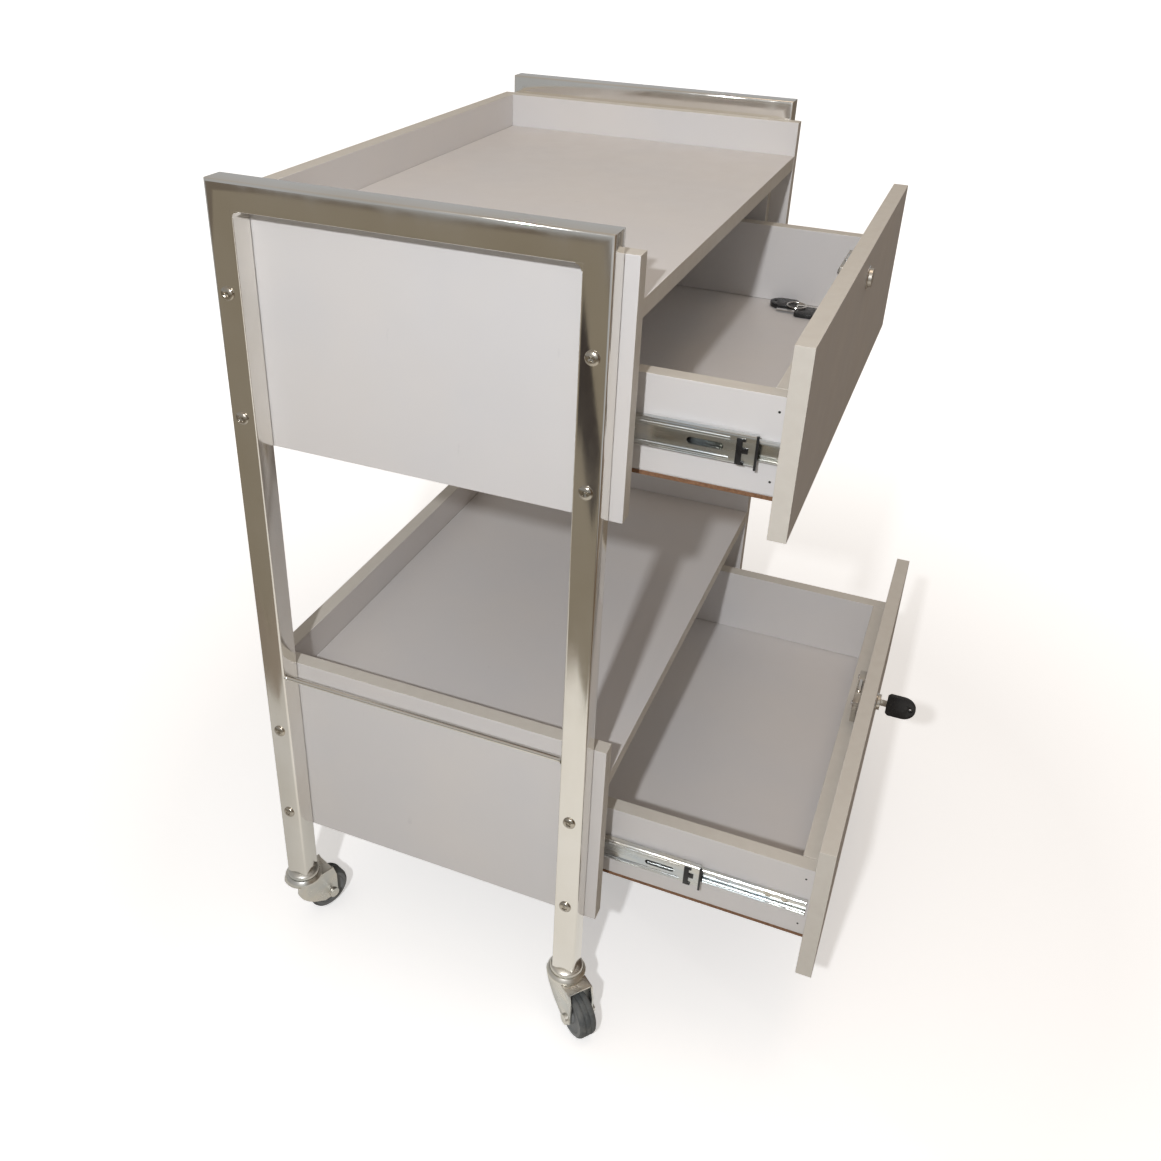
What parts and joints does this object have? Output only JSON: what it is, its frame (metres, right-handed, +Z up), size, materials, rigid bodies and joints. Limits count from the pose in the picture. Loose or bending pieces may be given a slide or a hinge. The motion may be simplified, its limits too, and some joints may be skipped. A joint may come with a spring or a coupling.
{
  "type": "rolling salon trolley",
  "caption": "Rolling salon trolley: chromed tube side frames carry a lipped top tray, a shelf and lockable drawers on ball-bearing slides, on swivel casters.",
  "frame": {"origin": "centre of the bounding box on the floor, with both drawers open as they stand at rest", "axes": "+Z up, -Y the way the drawers open, +X to the right seen from the front"},
  "size_m": [0.7036, 0.6442, 0.866],
  "materials": {
    "chrome": "bright chromed steel tube",
    "laminate": "satin off-white melamine on chipboard, edges banded",
    "hardboard": "brown hardboard",
    "zinc": "bright zinc plate",
    "lock_steel": "nickel plated steel",
    "key_plastic": "black moulded plastic",
    "caster_zinc": "zinc plated pressed steel",
    "grey_rubber": "grey rubber, fine ribs"
  },
  "bodies": {
    "cabinet": {"left_side_frame": "chrome", "right_side_frame": "chrome", "upper_left_panel": "laminate", "upper_right_panel": "laminate", "upper_left_spacer": "laminate", "upper_right_spacer": "laminate", "upper_back_panel": "laminate", "lower_left_panel": "laminate", "lower_right_panel": "laminate", "lower_left_spacer": "laminate", "lower_right_spacer": "laminate", "lower_back_panel": "laminate", "top_tray_board": "laminate", "middle_shelf_board": "laminate", "upper_left_cabinet_channel": "zinc", "upper_right_cabinet_channel": "zinc", "lower_left_cabinet_channel": "zinc", "lower_right_cabinet_channel": "zinc", "front_left_caster_stem": "caster_zinc", "front_right_caster_stem": "caster_zinc", "back_left_caster_stem": "caster_zinc", "back_right_caster_stem": "caster_zinc"},
    "upper_slide_stage": {"upper_left_middle_channel": "zinc", "upper_right_middle_channel": "zinc"},
    "upper_drawer": {"upper_drawer_front": "laminate", "upper_drawer_left_side": "laminate", "upper_drawer_right_side": "laminate", "upper_drawer_inner_front": "laminate", "upper_drawer_back": "laminate", "upper_drawer_bottom": "hardboard", "upper_left_drawer_channel": "zinc", "upper_right_drawer_channel": "zinc", "upper_lock_housing": "zinc", "spare_key_1": "key_plastic", "spare_key_2": "key_plastic", "spare_key_ring": "lock_steel"},
    "upper_lock_plug": {"upper_lock_plug": "lock_steel"},
    "upper_lock_bolt": {"upper_lock_bolt": "lock_steel"},
    "lower_slide_stage": {"lower_left_middle_channel": "zinc", "lower_right_middle_channel": "zinc"},
    "lower_drawer": {"lower_drawer_front": "laminate", "lower_drawer_left_side": "laminate", "lower_drawer_right_side": "laminate", "lower_drawer_inner_front": "laminate", "lower_drawer_back": "laminate", "lower_drawer_bottom": "hardboard", "lower_left_drawer_channel": "zinc", "lower_right_drawer_channel": "zinc", "lower_lock_housing": "zinc"},
    "lower_lock_plug": {"lower_lock_plug": "lock_steel", "lock_key": "key_plastic"},
    "lower_lock_bolt": {"lower_lock_bolt": "lock_steel"},
    "front_left_fork": {"front_left_caster_fork": "caster_zinc"},
    "front_left_wheel": {"front_left_caster_wheel": "grey_rubber"},
    "front_right_fork": {"front_right_caster_fork": "caster_zinc"},
    "front_right_wheel": {"front_right_caster_wheel": "grey_rubber"},
    "back_left_fork": {"back_left_caster_fork": "caster_zinc"},
    "back_left_wheel": {"back_left_caster_wheel": "grey_rubber"},
    "back_right_fork": {"back_right_caster_fork": "caster_zinc"},
    "back_right_wheel": {"back_right_caster_wheel": "grey_rubber"}
  },
  "joints": [
    {"name": "upper_slide_stage", "type": "slide", "parent": "cabinet", "child": "upper_slide_stage", "axis": [0, -1, 0], "range_m": [-0.118, 0]},
    {"name": "upper_drawer_slide", "type": "slide", "parent": "upper_slide_stage", "child": "upper_drawer", "axis": [0, -1, 0], "range_m": [-0.0154, 0.1026]},
    {"name": "upper_lock_turn", "type": "hinge", "parent": "upper_drawer", "child": "upper_lock_plug", "pos_m": [0, -0.1884, 0.764], "axis": [0, -1, 0], "range_deg": [0, 90]},
    {"name": "upper_bolt_rise", "type": "slide", "parent": "upper_drawer", "child": "upper_lock_bolt", "axis": [0, 0, 1], "range_m": [0, 0.018]},
    {"name": "lower_slide_stage", "type": "slide", "parent": "cabinet", "child": "lower_slide_stage", "axis": [0, -1, 0], "range_m": [-0.118, 0]},
    {"name": "lower_drawer_slide", "type": "slide", "parent": "lower_slide_stage", "child": "lower_drawer", "axis": [0, -1, 0], "range_m": [-0.105, 0.013]},
    {"name": "lower_lock_turn", "type": "hinge", "parent": "lower_drawer", "child": "lower_lock_plug", "pos_m": [0, -0.278, 0.2815], "axis": [0, -1, 0], "range_deg": [0, 90]},
    {"name": "lower_bolt_rise", "type": "slide", "parent": "lower_drawer", "child": "lower_lock_bolt", "axis": [0, 0, 1], "range_m": [0, 0.018]},
    {"name": "front_left_swivel", "type": "hinge", "parent": "cabinet", "child": "front_left_fork", "pos_m": [-0.3125, -0.0305, 0.062], "axis": [0, 0, 1], "continuous": true},
    {"name": "front_left_roll", "type": "hinge", "parent": "front_left_fork", "child": "front_left_wheel", "pos_m": [-0.33012, -0.05226, 0.025], "axis": [0.7771, -0.6293, 0], "continuous": true},
    {"name": "front_right_swivel", "type": "hinge", "parent": "cabinet", "child": "front_right_fork", "pos_m": [0.3125, -0.0305, 0.062], "axis": [0, 0, 1], "continuous": true},
    {"name": "front_right_roll", "type": "hinge", "parent": "front_right_fork", "child": "front_right_wheel", "pos_m": [0.33012, -0.05226, 0.025], "axis": [0.7771, 0.6293, 0], "continuous": true},
    {"name": "back_left_swivel", "type": "hinge", "parent": "cabinet", "child": "back_left_fork", "pos_m": [-0.3125, 0.2995, 0.062], "axis": [0, 0, 1], "continuous": true},
    {"name": "back_left_roll", "type": "hinge", "parent": "back_left_fork", "child": "back_left_wheel", "pos_m": [-0.28654, 0.28901, 0.025], "axis": [0.3746, 0.9272, 0], "continuous": true},
    {"name": "back_right_swivel", "type": "hinge", "parent": "cabinet", "child": "back_right_fork", "pos_m": [0.3125, 0.2995, 0.062], "axis": [0, 0, 1], "continuous": true},
    {"name": "back_right_roll", "type": "hinge", "parent": "back_right_fork", "child": "back_right_wheel", "pos_m": [0.29105, 0.2815, 0.025], "axis": [0.6428, -0.766, 0], "continuous": true}
  ],
  "couplings": [
    {"joint": "upper_bolt_rise", "follows": "upper_lock_turn", "m_per_rad": 0.01145},
    {"joint": "lower_bolt_rise", "follows": "lower_lock_turn", "m_per_rad": 0.01145}
  ]
}
